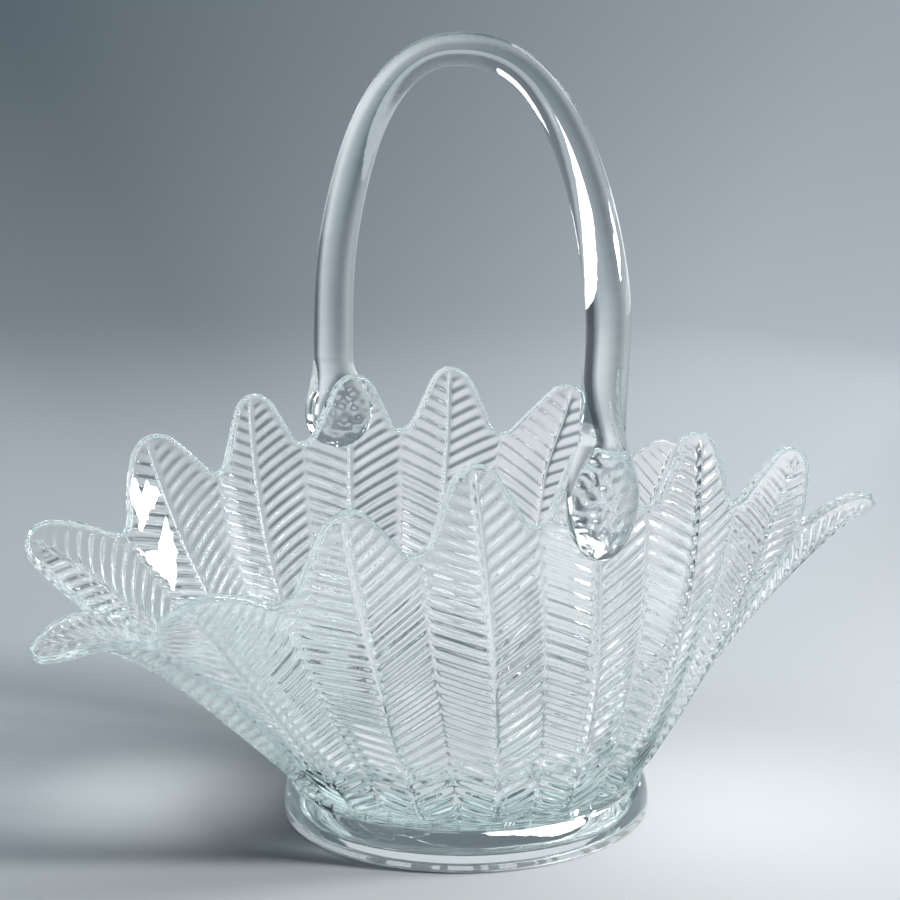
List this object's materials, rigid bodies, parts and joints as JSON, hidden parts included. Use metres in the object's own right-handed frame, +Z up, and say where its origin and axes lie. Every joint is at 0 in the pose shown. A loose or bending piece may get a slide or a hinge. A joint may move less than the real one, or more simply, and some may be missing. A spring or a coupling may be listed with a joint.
{
  "type": "handled glass basket",
  "caption": "Clear pressed-glass table basket: an oval bowl of upright feather fronds with a notched rim, on a plain collar foot, carried by a tall arched rod handle.",
  "frame": {"origin": "centre of the foot ring's underside, on the table", "axes": "+Z up; +X along the bowl's length; the handle arches over the bowl in the YZ plane, its front leg at -Y"},
  "size_m": [0.2802, 0.1629, 0.2362],
  "materials": {
    "clear_glass": "clear fire-polished glass with a faint aqua tint in the thick places"
  },
  "bodies": {
    "root": {"bowl": "clear_glass", "foot_ring": "clear_glass", "handle_arch": "clear_glass", "handle_pad_front": "clear_glass", "handle_pad_rear": "clear_glass"}
  },
  "joints": []
}
